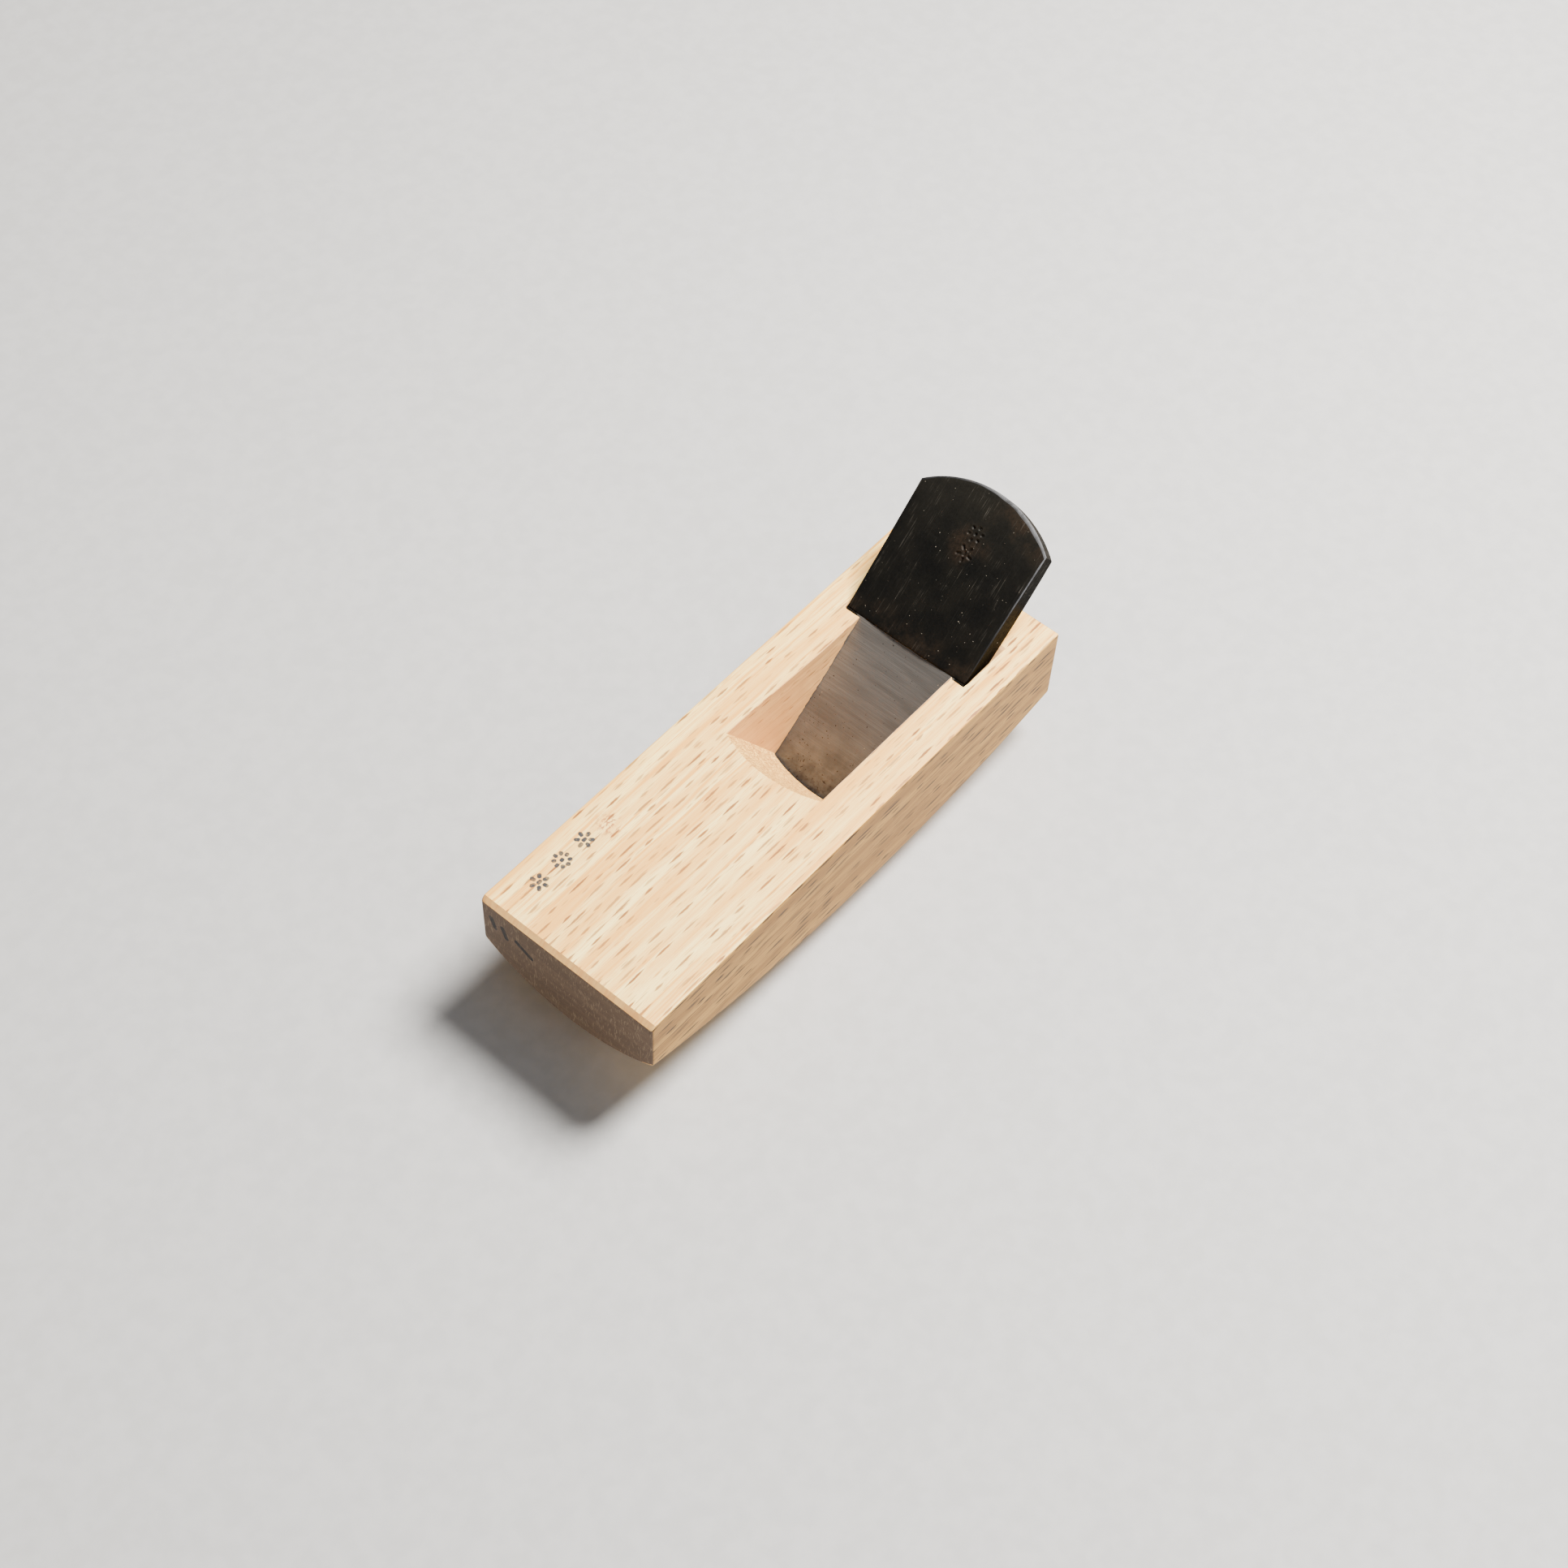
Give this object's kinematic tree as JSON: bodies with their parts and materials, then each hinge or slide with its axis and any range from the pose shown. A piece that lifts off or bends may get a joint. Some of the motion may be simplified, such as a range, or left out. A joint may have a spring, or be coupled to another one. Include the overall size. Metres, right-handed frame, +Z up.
{
  "type": "hand plane",
  "caption": "Small wooden pull plane with a double-curved sole, an open throat and a wedge-shaped laminated iron held by friction.",
  "frame": {"origin": "the lowest point of the sole's double curve, on the block's middle line: the point that touches the work", "axes": "+X towards the toe, the way the plane is pulled; +Y to the side; +Z up, square to the flat top of the block"},
  "size_m": [0.1087, 0.036, 0.0446],
  "materials": {
    "oak": "planed bare white oak, unoiled",
    "forged_iron": "black forge scale, filed bright on the bevels",
    "ground_steel": "hollow ground, fine grinding lines"
  },
  "bodies": {
    "stock": {"block": "oak"},
    "blade": {"blade_iron": "forged_iron", "blade_steel": "ground_steel"}
  },
  "joints": [
    {"name": "blade_slide", "type": "slide", "parent": "stock", "child": "blade", "axis": [-0.7809, 0, 0.6247], "range_m": [-0.001, 0.046]}
  ]
}
